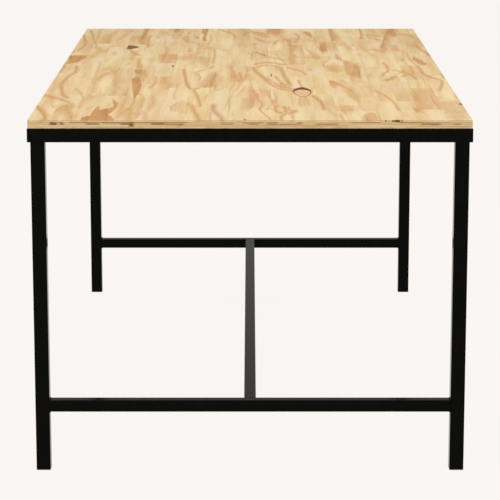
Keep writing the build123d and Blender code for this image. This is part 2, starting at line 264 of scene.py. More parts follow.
# Growth bands: a strength, how far the band fades to the left and to the right of its run, and
# its ridge as a line of (left, front)
BANDS = (
    (0.75, 6, 8, (76, 195), (71, 235), (59, 270), (44, 305), (24, 335), (2, 372)),
    (0.95, 3, 9, (38, -20), (27, 70), (18, 110), (3, 190)),
    (0.6, 8, 8, (30, -20), (34, 65)),
    (0.7, 16, 7, (88, 20), (83, 80), (75, 140), (76, 205)),
    (0.85, 5, 7, (56, 330), (41, 382), (35, 446), (29, 493), (24, 540), (25, 600), (29, 682), (33, 725),
     (39, 776), (38, 835), (34, 885)),
    (0.6, 3, 7, (92, 180), (92, 320), (80, 400), (64, 470)),
    (0.45, 12, 20, (183, 80), (184, 200), (180, 330), (176, 430)),
    (0.5, 6, 10, (104, 430), (102, 520), (98, 600), (104, 680), (125, 760), (140, 820)),
    (0.5, 5, 10, (170, 450), (148, 540), (141, 635), (143, 705), (132, 764), (120, 830)),
    (0.65, 3, 5, (178, 30), (188, 100), (201, 180), (204, 260), (203, 345)),
    (0.55, 8, 4, (222, 30), (225, 200), (223, 330), (216, 390)),
    (0.55, 9, 6, (243, -20), (240, 60), (235, 115)),
    (0.45, 9, 8, (243, 140), (246, 250), (243, 340)),
    (0.6, 3, 6, (292, 140), (288, 190), (297, 235), (310, 280)),
    (0.55, 2, 5, (299, 125), (297, 180), (304, 220), (317, 265)),
    (0.5, 2, 5, (307, 112), (304, 165), (310, 205), (322, 250)),
    (0.5, 2, 5, (315, 100), (312, 150), (317, 190), (326, 238)),
    (0.45, 2, 5, (323, 90), (321, 140), (324, 180), (331, 225)),
    (0.5, 3, 5, (290, 320), (288, 400), (291, 470), (292, 560)),
    (0.9, 6, 4, (351, 200), (348, 265), (344, 318), (341, 358), (337, 400), (332, 440), (334, 470),
     (341, 492)),
    (0.7, 9, 4, (355, -20), (349, 60), (342, 110), (336, 170), (333, 230)),
    (0.8, 6, 9, (403, -20), (394, 53), (384, 106), (378, 160), (377, 215)),
    (0.7, 22, 3, (462, 190), (467, 300), (469, 400), (466, 455)),
    (0.85, 3, 4, (503, -20), (492, 53), (483, 105), (477, 145), (478, 175), (483, 215), (481, 265),
     (475, 300), (474, 345), (473, 400)),
    (0.55, 3, 8, (509, 190), (503, 290), (497, 370), (492, 440)),
    (0.85, 5, 6, (523, 98), (512, 125), (509, 165), (514, 205)),
    (0.9, 8, 7, (533, 118), (534, 150), (530, 188)),
    (0.8, 3, 5, (546, 118), (540, 150), (538, 188)),
    (0.85, 6, 7, (538, 96), (548, 112), (553, 132)),
    (0.8, 5, 5, (523, -20), (521, 40), (527, 70), (534, 97)),
    (0.65, 3, 5, (566, 195), (564, 260), (568, 335)),
    (0.5, 2, 4, (574, 215), (573, 270), (575, 335)),
    (0.5, 2, 4, (582, 235), (580, 290), (579, 335)),
    (0.9, 6, 4, (614, 152), (613, 211), (611, 264), (604, 317), (595, 366)),
    (0.8, 3, 5, (649, -20), (646, 30), (644, 78)),
    (0.6, 6, 16, (680, 335), (676, 400), (672, 450)),
    (0.85, 5, 4, (772, 138), (770, 240), (766, 290), (759, 347), (750, 390), (740, 440)),
    (0.45, 3, 10, (742, 290), (742, 380)),
    (0.95, 6, 2, (5, 775), (7, 830), (8, 895)),
    (0.7, 9, 5, (233, 500), (238, 560), (240, 620), (236, 685)),
    (0.65, 13, 9, (270, 485), (272, 540), (263, 590), (258, 655)),
    (1.0, 5, 6, (322, 480), (318, 505), (312, 558), (308, 617), (305, 682), (301, 752), (297, 826)),
    (0.6, 4, 6, (326, 765), (333, 790), (345, 820), (360, 850), (367, 890)),
    (1.0, 20, 6, (369, 540), (369, 600), (372, 660), (377, 725)),
    (0.95, 9, 5, (354, 490), (357, 530), (360, 562)),
    (0.6, 14, 12, (350, 500), (348, 560), (356, 640), (366, 705)),
    (0.6, 3, 3, (380, 440), (377, 500), (380, 562)),
    (0.6, 16, 4, (418, 680), (416, 780), (412, 890)),
    (0.8, 2, 6, (435, 597), (426, 630), (420, 700), (418, 790)),
    (0.7, 6, 2, (435, 597), (446, 640), (450, 720), (452, 800), (450, 870)),
    (0.8, 5, 6, (436, 640), (434, 690), (432, 765)),
    (0.9, 7, 9, (496, 620), (488, 670), (478, 735), (469, 795), (464, 860)),
    (0.85, 3, 4, (503, 615), (499, 650), (497, 695)),
    (0.8, 3, 6, (530, 560), (526, 595), (521, 640), (516, 692)),
    (1.0, 7, 8, (547, 560), (542, 640), (537, 720), (534, 780), (531, 855)),
    (0.85, 4, 6, (556, 465), (546, 490), (522, 523), (507, 546), (497, 590), (492, 645)),
    (0.75, 3, 5, (552, 522), (533, 546), (516, 568), (505, 605), (500, 645)),
    (0.75, 3, 7, (552, 436), (530, 462), (516, 492), (508, 522)),
    (1.0, 3, 4, (578, 498), (574, 520), (571, 565), (569, 622)),
    (0.75, 4, 6, (588, 735), (584, 765), (573, 810), (556, 838), (548, 865)),
    (0.75, 9, 5, (686, 425), (680, 470), (672, 517), (660, 566), (648, 610)),
    (0.85, 9, 4, (715, 695), (718, 780), (720, 890)),
    (0.6, 4, 8, (690, 735), (689, 800), (692, 890)),
    (0.85, 5, 4, (769, 705), (774, 745), (785, 782), (792, 822), (787, 860)),
    (0.85, 9, 6, (776, 622), (787, 650), (799, 688)),
    (0.95, 5, 4, (845, 648), (843, 690), (839, 720), (829, 755), (815, 790), (804, 818)),
    (0.75, 4, 5, (814, 698), (823, 722), (834, 738)),
    (0.7, 6, 4, (846, 756), (848, 820), (846, 885)),
    (0.6, 4, 4, (806, 735), (815, 765), (828, 800)),
    (0.85, 6, 4, (884, 455), (893, 520), (900, 575), (902, 615), (896, 645), (885, 675), (874, 714),
     (868, 760), (870, 830), (867, 890)),
    (0.85, 6, 2, (911, 668), (913, 738)),
    (0.9, 5, 5, (14, 1225), (22, 1295), (23, 1345), (20, 1411), (12, 1475), (4, 1566)),
    (0.75, 4, 5, (55, 1300), (47, 1387), (43, 1422), (35, 1475), (29, 1552), (21, 1622), (14, 1690)),
    (0.6, 3, 4, (43, 1470), (43, 1560), (40, 1650), (37, 1740)),
    (0.5, 12, 10, (58, 1080), (66, 1150), (72, 1220), (64, 1260), (52, 1295)),
    (0.75, 5, 8, (172, 1118), (158, 1164), (149, 1223), (146, 1250)),
    (0.7, 5, 9, (184, 868), (182, 940), (180, 1000), (178, 1035)),
    (0.7, 3, 4, (159, 922), (159, 958)),
    (0.6, 4, 4, (367, 948), (368, 1100), (364, 1235)),
    (0.45, 6, 5, (417, 890), (417, 980)),
    (0.75, 5, 7, (468, 925), (480, 950), (498, 966), (515, 960), (530, 935), (541, 905)),
    (0.7, 4, 6, (474, 878), (484, 903), (500, 915), (516, 903), (527, 876)),
    (0.65, 5, 6, (505, 1080), (533, 1029), (545, 1008)),
    (0.35, 6, 6, (580, 1074), (604, 1068), (631, 1066)),
    (0.95, 6, 7, (790, 868), (790, 910), (785, 950)),
    (0.6, 5, 7, (798, 1183), (790, 1206), (771, 1235)),
    (0.55, 3, 6, (836, 1000), (843, 1100), (847, 1195)),
    (0.6, 5, 5, (803, 1208), (804, 1315)),
    (0.95, 6, 8, (911, 1108), (906, 1160), (899, 1230), (892, 1315)),
    (0.9, 5, 4, (191, 1295), (187, 1400), (186, 1500), (188, 1565)),
    (0.9, 4, 3, (174, 1575), (175, 1612)),
    (0.7, 4, 7, (178, 1350), (165, 1400), (160, 1432)),
    (0.5, 8, 8, (108, 1480), (118, 1570), (128, 1690)),
    (0.6, 3, 6, (297, 1395), (288, 1480), (284, 1560), (290, 1655)),
    (0.6, 3, 6, (327, 1305), (318, 1375), (296, 1405), (287, 1450)),
    (0.5, 3, 5, (306, 1540), (304, 1620), (303, 1700)),
    (0.65, 4, 6, (416, 1475), (414, 1546), (408, 1611), (386, 1669), (378, 1700)),
    (0.7, 7, 7, (443, 1555), (441, 1665)),
    (0.95, 6, 7, (503, 1583), (495, 1605), (481, 1630), (462, 1652)),
    (0.75, 5, 9, (503, 1520), (490, 1560), (470, 1602)),
    (0.8, 6, 5, (497, 1413), (484, 1450), (473, 1492)),
    (0.5, 5, 8, (470, 1250), (466, 1330), (475, 1400)),
    (0.5, 6, 4, (541, 1525), (542, 1566)),
    (0.7, 5, 7, (521, 1358), (524, 1400), (531, 1450)),
    (0.7, 9, 5, (577, 1395), (584, 1450), (590, 1510), (588, 1570), (582, 1625)),
    (0.85, 7, 7, (562, 1330), (563, 1400), (559, 1455)),
    (0.7, 3, 4, (631, 1385), (632, 1450), (631, 1522)),
    (0.85, 4, 16, (678, 1435), (678, 1530), (677, 1600), (678, 1750)),
    (0.85, 4, 5, (755, 1488), (761, 1564), (763, 1652), (763, 1720)),
    (0.7, 6, 6, (804, 1455), (790, 1492), (771, 1525)),
    (0.65, 6, 6, (805, 1538), (792, 1560), (774, 1580)),
    (0.9, 4, 18, (800, 1285), (808, 1380), (816, 1458), (824, 1540), (833, 1620), (842, 1700)),
    (0.65, 14, 10, (901, 1488), (899, 1545), (882, 1595)),
    (0.6, 5, 5, (894, 1300), (895, 1425)),
    (0.5, 6, 14, (712, 1250), (706, 1300), (702, 1380)),
)

# Knots: the row a knot is held in, its outline's middle, half width, and half length towards the
# front and towards the back, the same of its pale core, and how dark its bark is
KNOTS = (
    (13, (574, 436, 22, 91, 72), (574, 428, 18.8, 79, 40), 1.0),
    (4, (137, 1290, 31, 44, 44), None, 0.9),
    (6, (269, 893, 2.2, 24, 24), None, 1.0),
    (12, (507.5, 722, 1.8, 34, 34), None, 0.8),
    (20, (914, 233, 8, 16, 16), None, 0.8),
    (17, (736, 1, 2.6, 2.5, 2.5), None, 0.6),
    (17, (743, 1, 1.6, 2, 2), None, 0.5),
    (17, (751, 1, 3.6, 3, 3), None, 0.75),
    (17, (760, 1.5, 5.5, 3.4, 3.4), None, 1.0),
    (17, (769, 1, 2.8, 2.5, 2.5), None, 0.5),
    (10, (446, 9, 1.8, 10, 10), None, 0.75),
)
# 2 would make a knot's outline an ellipse, and less gives it corners
KNOT_POWER = 1.7
# Past this many half widths a knot changes nothing
KNOT_REACH = 3.0
# Bark is sunk a little, from just outside the outline, and growth rings swell round a knot
KNOT_SINK = 0.3 * MM
KNOT_SINK_FROM, KNOT_SINK_OVER = 1.1, 0.3
KNOT_SWELL, KNOT_SWELL_FROM = 1.6, 0.6
# How far past its half height, and how far in from its ends, a streak on the front edge fades
STREAK_SPREAD = 2.6
STREAK_END = 5
# How much wider and how much stronger the bands are drawn than listed
BAND_SPREAD = 1.35
BAND_WEIGHT = 1.15
# A stain or band whose line only just passes a butt joint isn't in the stave beyond it
JOINT_SLACK = 12
# Narrow stains, and all but the strongest, fade in more slowly, and none shows past its margin
STAIN_FULL_WIDTH = 10
STRONG_STAIN = 0.8
SOFT_STAIN = 0.35
STAIN_MARGIN = 34
# How much of a stave's darkness is listed, how much is clouds, and how much is the stave's own
TINT_LISTED, TINT_CLOUDS, TINT_OWN = 0.62, 0.26, 0.35
TINT_CLOUD_SIZE = (38, 170)
# Distances along the grain count for less than distances across it
GRAIN_STRETCH = 0.3


def nearest_on(chain, left, front):
    """(gap, which side, value) of the nearest point of a chain.

    Seen along the chain, its right is 1 and its left is -1. value is its third number, if any.
    """
    best = (math.inf, 1, 0.0)
    for start, end in zip(chain, chain[1:]):
        run_x, run_y = end[0] - start[0], (end[1] - start[1]) * GRAIN_STRETCH
        to_x, to_y = left - start[0], (front - start[1]) * GRAIN_STRETCH
        share = (to_x * run_x + to_y * run_y) / (run_x * run_x + run_y * run_y)
        share = min(max(share, 0.0), 1.0)
        gap = math.hypot(to_x - share * run_x, to_y - share * run_y)
        if gap < best[0]:
            side = 1 if to_x * run_y > to_y * run_x else -1
            value = start[2] + share * (end[2] - start[2]) if len(start) > 2 else 0.0
            best = (gap, side, value)
    return best


class Reach:
    """A stain or a band with the box outside which it shows nothing."""

    def __init__(self, strength, chain, margin, fades=None):
        self.strength, self.chain, self.fades = strength, chain, fades
        lefts, fronts = [spot[0] for spot in chain], [spot[1] for spot in chain]
        self.run = (min(fronts), max(fronts))
        self.left = (min(lefts) - margin, max(lefts) + margin)
        self.front = (min(fronts) - margin / GRAIN_STRETCH, max(fronts) + margin / GRAIN_STRETCH)

    def holds(self, left, front):
        return self.left[0] < left < self.left[1] and self.front[0] < front < self.front[1]

    def meets(self, edges, ends):
        """True if it shows in a stave: its figure stops where the stave is cut."""
        beside = self.left[0] < edges[1] and self.left[1] > edges[0]
        return beside and self.run[0] < ends[1] - JOINT_SLACK and self.run[1] > ends[0] + JOINT_SLACK


STAIN_REACHES = [Reach(strength, chain, STAIN_MARGIN) for strength, *chain in STAINS]
BAND_REACHES = [
    Reach(strength, line, BAND_SPREAD * max(to_left, to_right), (to_left, to_right))
    for strength, to_left, to_right, *line in BANDS
]


def stain_at(left, front, stains):
    """How deep a point lies in a stain, 0 at its outline and 1 on its middle, and its strength."""
    deepest, strength = -1.0, 0.0
    for stain in stains:
        if stain.holds(left, front):
            gap, _, width = nearest_on(stain.chain, left, front)
            inside = (1.0 - gap / width) * min(width / STAIN_FULL_WIDTH, 1.0)
            inside *= 1.0 if stain.strength > STRONG_STAIN else SOFT_STAIN
            if inside > deepest:
                deepest, strength = inside, stain.strength
    return deepest, strength


def band_at(left, front, bands):
    """How strongly the growth bands darken a point, from 0 to 1."""
    deepest = 0.0
    for band in bands:
        if band.holds(left, front):
            gap, side, _ = nearest_on(band.chain, left, front)
            width = BAND_SPREAD * (band.fades[1] if side > 0 else band.fades[0])
            share = min(band.strength * BAND_WEIGHT, 1.0) * max(1 - gap / width, 0.0)
            deepest = max(deepest, share)
    return deepest


def knot_at(row, left, front):
    """Place in the nearest knot, 1 on its outline, the same for its core, and its darkness."""

    def place_in(middle_x, middle_y, half_width, near, far):
        across = abs(left - middle_x) / half_width
        along = abs(front - middle_y) / (near if front < middle_y else far)
        return (across**KNOT_POWER + along**KNOT_POWER) ** (1 / KNOT_POWER)

    nearest = (KNOT_REACH, KNOT_REACH, 0.0)
    for knot_row, outline, core, dark in KNOTS:
        if knot_row == row and place_in(*outline) < nearest[0]:
            nearest = (place_in(*outline), place_in(*core) if core else KNOT_REACH, dark)
    return nearest


def tint_at(row, left, front, stave):
    """How much a whole part of a stave is darkened."""
    here = [share for low, high, share in TINTS[row] if low < front < high]
    place = Vector((left / TINT_CLOUD_SIZE[0], front / TINT_CLOUD_SIZE[1], 0)) + stave.offset
    clouds = TINT_CLOUDS * max(noise.noise(place), 0.0)
    return max(here, default=0.0) * TINT_LISTED + clouds + TINT_OWN * stave.heart


# ---- mesh building

def put(name, data):
    """A new object, linked to the scene."""
    thing = bpy.data.objects.new(name, data)
    bpy.context.scene.collection.objects.link(thing)
    return thing


def eased_places(low, high, low_ease, high_ease, step):
    """Places across one direction of a block, each with how far the face drops there."""

    def quarter(radius):
        segments = ARRIS_SEGMENTS if radius > SEAM_EASE else 1
        turns = [math.pi / 2 * k / segments for k in range(segments + 1)]
        return [(radius * (1 - math.sin(turn)), radius * (1 - math.cos(turn))) for turn in turns]

    places = [(low + inset, drop) for inset, drop in reversed(quarter(low_ease))]
    inner_low, inner_high = low + low_ease, high - high_ease
    count = max(1, round((inner_high - inner_low) / step))
    for k in range(1, count):
        places.append((inner_low + (inner_high - inner_low) * k / count, 0.0))
    places += [(high - inset, drop) for inset, drop in quarter(high_ease)]
    return places


# What each vertex of the wood carries: its growth ring, how strong the rings show, the stave's
# darkness, brightness and own number, bands, how deep it is in a stain and that stain's
# strength, the place in a knot and in its core, how dark its bark is, and how close glue is.
FIGURE_VALUES = (
    "ring", "figure", "heart", "light", "own", "band",
    "stain", "stain_strength", "knot", "knot_core", "bark", "seam",
)


class Sheet:
    """Gathers vertices, faces and figure values, and turns them into one mesh object."""

    def __init__(self):
        self.points, self.faces = [], []
        self.values = {label: [] for label in FIGURE_VALUES}

    def add(self, point, **values):
        self.points.append(point)
        for label, gathered in self.values.items():
            gathered.append(values.get(label, 0.0))
        return len(self.points) - 1

    def face(self, corners, facing):
        """Adds a face, turned over unless it is facing."""
        self.faces.append(tuple(corners) if facing else tuple(reversed(corners)))

    def tube(self, loops, facing=True):
        """Joins each loop of vertices to the next, and closes both ends."""
        for before, after in zip(loops, loops[1:]):
            for k in range(len(before)):
                beside = (k + 1) % len(before)
                self.face((before[k], before[beside], after[beside], after[k]), facing)
        self.face(loops[0], not facing)
        self.face(loops[-1], facing)

    def build(self, name, material):
        mesh = bpy.data.meshes.new(name)
        mesh.from_pydata([tuple(p) for p in self.points], [], self.faces)
        for label, values in self.values.items():
            mesh.attributes.new(label, "FLOAT", "POINT").data.foreach_set("value", values)
        mesh.shade_smooth()
        mesh.set_sharp_from_angle(angle=SMOOTH_ANGLE)
        mesh.materials.append(material)
        return put(name, mesh)


def add_block(sheet, low, high, up, step, figure):
    """A closed block whose outer face, at high z if up is 1 and at low z if -1, is a fine grid.

    figure(point) gives the values of one vertex.
    """
    on_left, on_right = low.x <= PANEL_LOW.x + MM, high.x >= PANEL_HIGH.x - MM
    on_front, on_back = low.y <= PANEL_LOW.y + MM, high.y >= PANEL_HIGH.y - MM
    ease = [ARRIS_RADIUS if outer else SEAM_EASE for outer in (on_left, on_right, on_front, on_back)]
    xs = eased_places(low.x, high.x, ease[0], ease[1], step[0])
    ys = eased_places(low.y, high.y, ease[2], ease[3], step[1])
    face_z, inner_z = (high.z, low.z) if up > 0 else (low.z, high.z)

    def add(x, y, z, seam):
        values = figure(Vector((x, y, z)))
        sunk = min(max((KNOT_SINK_FROM - values["knot"]) / KNOT_SINK_OVER, 0.0), 1.0)
        sunk *= values["bark"]
        if values["knot_core"] < 1:
            sunk = 0.0
        return sheet.add(Vector((x, y, z - up * sunk * KNOT_SINK)), seam=seam, **values)

    def tone(drop):
        return ARRIS_TONE if drop > ARRIS_RADIUS / 2 else 0.0

    grid = [[add(x, y, face_z - up * (dx + dy), tone(dy)) for y, dy in ys] for x, dx in xs]
    last_x, last_y = len(xs) - 1, len(ys) - 1
    for i in range(last_x):
        for j in range(last_y):
            sheet.face((grid[i][j], grid[i + 1][j], grid[i + 1][j + 1], grid[i][j + 1]), up > 0)
    rim = [(i, 0) for i in range(last_x)]
    rim += [(last_x, j) for j in range(last_y)]
    rim += [(i, last_y) for i in range(last_x, 0, -1)]
    rim += [(0, j) for j in range(last_y, 0, -1)]
    loop = [grid[i][j] for i, j in rim]
    middle = (face_z + inner_z) / 2
    for z, seam in ((middle, 0.0), (inner_z + up * GLUE_HEIGHT, 0.0), (inner_z, 1.0)):
        below = [add(xs[i][0], ys[j][0], z, seam) for i, j in rim]
        for k in range(len(rim)):
            after = (k + 1) % len(rim)
            sheet.face((loop[k], below[k], below[after], loop[after]), up > 0)
        loop = below
    sheet.face(loop, up < 0)


def edge_streak_at(left, height):
    """How dark a streak is at a point of the front edge."""
    deepest = 0.0
    for low, high, middle, half, strength in EDGE_STREAKS:
        along = min((left - low) / STREAK_END, (high - left) / STREAK_END, 1.0)
        inside = along * max(1 - abs(height - middle) / (STREAK_SPREAD * half), 0.0)
        deepest = max(deepest, strength * min(inside * STREAK_SPREAD, 1.0))
    return deepest


def row_stations(node):
    """Y of every butt joint of a face row, with the row's two ends."""
    return sorted({round(v.co.y, POINT_DIGITS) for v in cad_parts[node].data.vertices})


def back_rows():
    """(low x, high x, stations along Y) of each row of the back face."""
    edges = {}
    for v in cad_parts["back_staves"].data.vertices:
        edges.setdefault(round(v.co.x, POINT_DIGITS), set()).add(round(v.co.y, POINT_DIGITS))
    count = len(FACE_ROWS)
    width = (PANEL_HIGH.x - PANEL_LOW.x) / count
    lines = [round(PANEL_LOW.x + width * k, POINT_DIGITS) for k in range(count + 1)]

    def along(line):
        return set().union(*(ys for x, ys in edges.items() if abs(x - line) < LINE_MATCH))

    for left, right in zip(lines, lines[1:]):
        yield left, right, sorted(along(left) & along(right))


def stave_figure(stave, row, low, high, face_z):
    """The figure values of a stave whose grain runs along Y, for add_block."""
    centre = (low + high) / 2
    edges = [(x - PANEL_LOW.x) / MM for x in (low.x, high.x)]
    ends = [(y - PANEL_LOW.y) / MM for y in (low.y, high.y)]
    stains = [stain for stain in STAIN_REACHES if stain.meets(edges, ends)]
    bands = [band for band in BAND_REACHES if band.meets(edges, ends)]

    def figure(point):
        left, front = (point.x - PANEL_LOW.x) / MM, (point.y - PANEL_LOW.y) / MM
        across, along = (point.x - centre.x) / MM, (point.y - low.y) / MM
        depth = abs(point.z - face_z) / MM
        values = stave.values()
        if row:
            at_end = min(point.y - PANEL_LOW.y, PANEL_HIGH.y - point.y) < MM and depth > FIGURE_DEPTH / MM
            share = END_GRAIN_SHARE if at_end else 1.0
            values["stain"], strength = stain_at(left, front, stains)
            values["stain_strength"] = share * strength
            values["band"] = share * band_at(left, front, bands)
            values["heart"] = tint_at(row, left, front, stave)
        values["knot"], values["knot_core"], values["bark"] = knot_at(row, left, front)
        swirl = math.exp(1 - max(values["knot"], KNOT_SWELL_FROM) * KNOT_SWELL)
        values["ring"] = stave.ring(across, along, depth) + swirl
        return values

    return figure


def add_row(sheet, low, high, stations, up, row, seeds, light=0.0):
    """The separate staves of one row. seeds is the first stave's seed and the step to the next."""
    face_z, step = (high.z, FACE_STEP) if up > 0 else (low.z, BACK_STEP)
    for k, (start, end) in enumerate(zip(stations, stations[1:])):
        stave = Stave(seeds[0] + k * seeds[1])
        stave.light += light
        block_low, block_high = Vector((low.x, start, low.z)), Vector((high.x, end, high.z))
        figure = stave_figure(stave, row, block_low, block_high, face_z)
        add_block(sheet, block_low, block_high, up, step, figure)


def make_face_row(number, node, material):
    """One row of the face."""
    sheet = Sheet()
    low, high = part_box(node)
    add_row(sheet, low, high, row_stations(node), 1, number, (number * FACE_SEEDS[0], FACE_SEEDS[1]))
    piece = sheet.build(node + "_staves", material)
    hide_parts(node)
    return piece


def make_back(material):
    """All staves of the underside."""
    sheet = Sheet()
    low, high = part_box("back_staves")
    for number, (left, right, stations) in enumerate(back_rows()):
        row_low, row_high = Vector((left, 0, low.z)), Vector((right, 0, high.z))
        seeds = (BACK_SEED + number * BACK_SEEDS[0], BACK_SEEDS[1])
        # The underside staves are painted darker all over, as shade from the top rail
        add_row(sheet, row_low, row_high, stations, -1, 0, seeds, BACK_PAINTED_SHADE)
    piece = sheet.build("underside_staves", material)
    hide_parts("back_staves")
    return piece


def make_cross_ply(node, seed, heart, light, material):
    """A ply whose grain runs across the table, with glue along both edges of its rim."""
    sheet = Sheet()
    low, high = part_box(node)
    ply = Stave(seed)
    ply.spacing, ply.slope, ply.figure = PLY_SPACING, PLY_SLOPE, PLY_FIGURE
    ply.heart, ply.light = heart, light

    def add(x, y, z, seam):
        values = ply.values()
        values["ring"] = ply.ring(y / MM, x / MM, (z - low.z) / MM)
        values["knot"] = values["knot_core"] = KNOT_REACH
        place = Vector((x * PLY_STAIN_ALONG, y * PLY_STAIN_ALONG, z * PLY_STAIN_THROUGH + seed))
        values["stain"] = PLY_STAIN_DEPTH * (noise.noise(place) - PLY_STAIN_CUT)
        if y < PANEL_LOW.y + MM:
            values["band"] = edge_streak_at((x - PANEL_LOW.x) / MM, (z - PANEL_BOTTOM) / MM)
        return sheet.add(Vector((x, y, z)), seam=seam, stain_strength=PLY_STAIN, **values)

    xs = [x for x, _ in eased_places(low.x, high.x, SEAM_EASE, SEAM_EASE, PLY_STEP)]
    ys = [y for y, _ in eased_places(low.y, high.y, SEAM_EASE, SEAM_EASE, PLY_STEP)]
    rim = [(x, low.y, 0, 1) for x in xs[1:-1]] + [(high.x, y, -1, 0) for y in ys[1:-1]]
    rim += [(x, high.y, 0, -1) for x in xs[-2:0:-1]] + [(low.x, y, 1, 0) for y in ys[-2:0:-1]]
    levels = [(low.z, SEAM_EASE, 1.0), (low.z + SEAM_EASE, 0.0, 1.0)]
    inner_low, inner_high = low.z + GLUE_HEIGHT, high.z - GLUE_HEIGHT
    count = round((inner_high - inner_low) / PLY_LEVEL)
    levels += [(inner_low + (inner_high - inner_low) * k / count, 0.0, 0.0) for k in range(count + 1)]
    levels += [(high.z - SEAM_EASE, 0.0, 1.0), (high.z, SEAM_EASE, 1.0)]
    loops = []
    for z, inset, seam in levels:
        loops.append([add(x + inset * ix, y + inset * iy, z, seam) for x, y, ix, iy in rim])
    sheet.tube(loops)
    piece = sheet.build(node + "_sheet", material)
    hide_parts(node)
    return piece


def solids_of(node):
    """The corner points of each separate solid of a CAD node."""
    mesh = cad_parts[node].data
    places = [tuple(round(value, POINT_DIGITS) for value in v.co) for v in mesh.vertices]
    solid = {place: {place} for place in places}
    for face in mesh.polygons:
        joined = set().union(*(solid[places[v]] for v in face.vertices))
        for place in joined:
            solid[place] = joined
    return list({id(points): points for points in solid.values()}.values())


def bead_corner(points):
    """Which axis a weld bead runs along, its corner line's two ends, and the directions of its legs."""
    low = Vector([min(point[axis] for point in points) for axis in range(3)])
    high = Vector([max(point[axis] for point in points) for axis in range(3)])
    run = max(range(3), key=lambda axis: high[axis] - low[axis])
    first, second = [axis for axis in range(3) if axis != run]

    def held(a, b):
        """True if the profile has a corner where first is a and second is b."""
        return any(abs(p[first] - a) + abs(p[second] - b) < BEAD_MATCH for p in points)

    for a, far_a in ((low[first], high[first]), (high[first], low[first])):
        for b, far_b in ((low[second], high[second]), (high[second], low[second])):
            if not held(far_a, far_b):
                start, end = low.copy(), high.copy()
                for point in (start, end):
                    point[first], point[second] = a, b
                legs = Vector(), Vector()
                legs[0][first], legs[1][second] = far_a - a, far_b - b
                return start, end, legs
    raise ValueError("a weld bead fills its whole box")


def add_bead(sheet, start, end, legs, seed):
    """A fillet weld with ripples across it, thinning out at both ends."""
    length = (end - start).length
    count = max(2, round(length / BEAD_STEP))
    loops = []
    for k in range(count + 1):
        along = length * k / count
        inset = max(1 - min(along, length - along) / BEAD_TAPER, 0.0)
        girth = max(math.sqrt(1 - inset * inset), BEAD_TIP)
        girth *= 1 + BEAD_SWAY * noise.noise(Vector((along / BEAD_SWAY_LENGTH, seed, 0)))
        corner = start.lerp(end, k / count)
        loop = [sheet.add(corner)]
        for j in range(BEAD_FACETS + 1):
            share = j / BEAD_FACETS
            crown = math.sin(math.pi * share)
            turn = along / BEAD_RIPPLE - BEAD_LAG * crown
            swell = 1 + crown * (BEAD_CROWN + BEAD_RELIEF * (turn - math.floor(turn)))
            spot = legs[0] * (1 - share) + legs[1] * share
            loop.append(sheet.add(corner + spot * girth * swell))
        loops.append(loop)
    sheet.tube(loops, legs[0].cross(legs[1]).dot(end - start) > 0)


def make_beads(node, material):
    """All the weld beads of a node."""
    sheet = Sheet()
    for seed, points in enumerate(solids_of(node)):
        start, end, legs = bead_corner(points)
        add_bead(sheet, start, end, legs, seed)
    piece = sheet.build(node + "_beads", material)
    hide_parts(node)
    return piece


# ---- materials

class Nodes:
    """Short calls for building one material's node tree."""

    def __init__(self, name):
        self.material = bpy.data.materials.new(name)
        self.material.use_nodes = True
        self.tree = self.material.node_tree
        self.tree.nodes.clear()
        self.shader = self.tree.nodes.new("ShaderNodeBsdfPrincipled")
        output = self.tree.nodes.new("ShaderNodeOutputMaterial")
        self.tree.links.new(self.shader.outputs["BSDF"], output.inputs["Surface"])

    def feed(self, socket, value):
        """Links an output socket to an input, or sets the input to a plain value."""
        if isinstance(value, bpy.types.NodeSocket):
            self.tree.links.new(value, socket)
        else:
            socket.default_value = value

    def node(self, kind, inputs, **settings):
        """The outputs of a new node, with its settings made and its inputs fed by name or number."""
        node = self.tree.nodes.new("ShaderNode" + kind)
        for label, value in settings.items():
            setattr(node, label, value)
        for label, value in inputs.items():
            self.feed(node.inputs[label], value)
        return node.outputs

    def math(self, operation, a, b=0.0, clamp=False):
        return self.node("Math", {0: a, 1: b}, operation=operation, use_clamp=clamp)[0]

    def times(self, a, b):
        return self.math("MULTIPLY", a, b)

    def plus(self, a, b):
        return self.math("ADD", a, b)

    def minus(self, a, b):
        return self.math("SUBTRACT", a, b)

    def vector(self, operation, a, b):
        return self.node("VectorMath", {0: a, 1: b}, operation=operation)[0]

    def ramp(self, value, low, high):
        """0 below low and 1 above high, with a soft step between."""
        inputs = {"Value": value, "From Min": low, "From Max": high}
        return self.node("MapRange", inputs, interpolation_type="SMOOTHSTEP")["Result"]

    def between(self, value, low, high):
        """value, from 0 to 1, taken to the span from low to high."""
        return self.node("MapRange", {"Value": value, "To Min": low, "To Max": high})["Result"]

    def mix(self, share, a, b, blend="MIX"):
        """Colour a, taken towards colour b by share."""
        a, b = [(*colour, 1) if isinstance(colour, tuple) else colour for colour in (a, b)]
        return self.node("Mix", {0: share, 6: a, 7: b}, data_type="RGBA", blend_type=blend)[2]

    def noise(self, vector, scale=1.0, detail=2.0, roughness=0.5):
        inputs = {"Vector": vector, "Scale": scale, "Detail": detail, "Roughness": roughness}
        return self.node("TexNoise", inputs)["Fac"]

    def attribute(self, name):
        return self.node("Attribute", {}, attribute_name=name)["Fac"]

    def place(self):
        """The point's place in the frame, in millimetres."""
        place = self.node("TexCoord", {})["Object"]
        return self.vector("MULTIPLY", place, (1 / MM, 1 / MM, 1 / MM))

    def bump(self, height, distance, strength):
        inputs = {"Height": height, "Distance": distance, "Strength": strength}
        return self.node("Bump", inputs)["Normal"]

    def coat(self, colour, roughness, specular, normal):
        """Feeds the shader, with the specular level set on its own socket."""
        self.feed(self.shader.inputs["Base Color"], colour)
        self.feed(self.shader.inputs["Roughness"], roughness)
        self.shader.inputs["Specular IOR Level"].default_value = specular
        self.feed(self.shader.inputs["Normal"], normal)


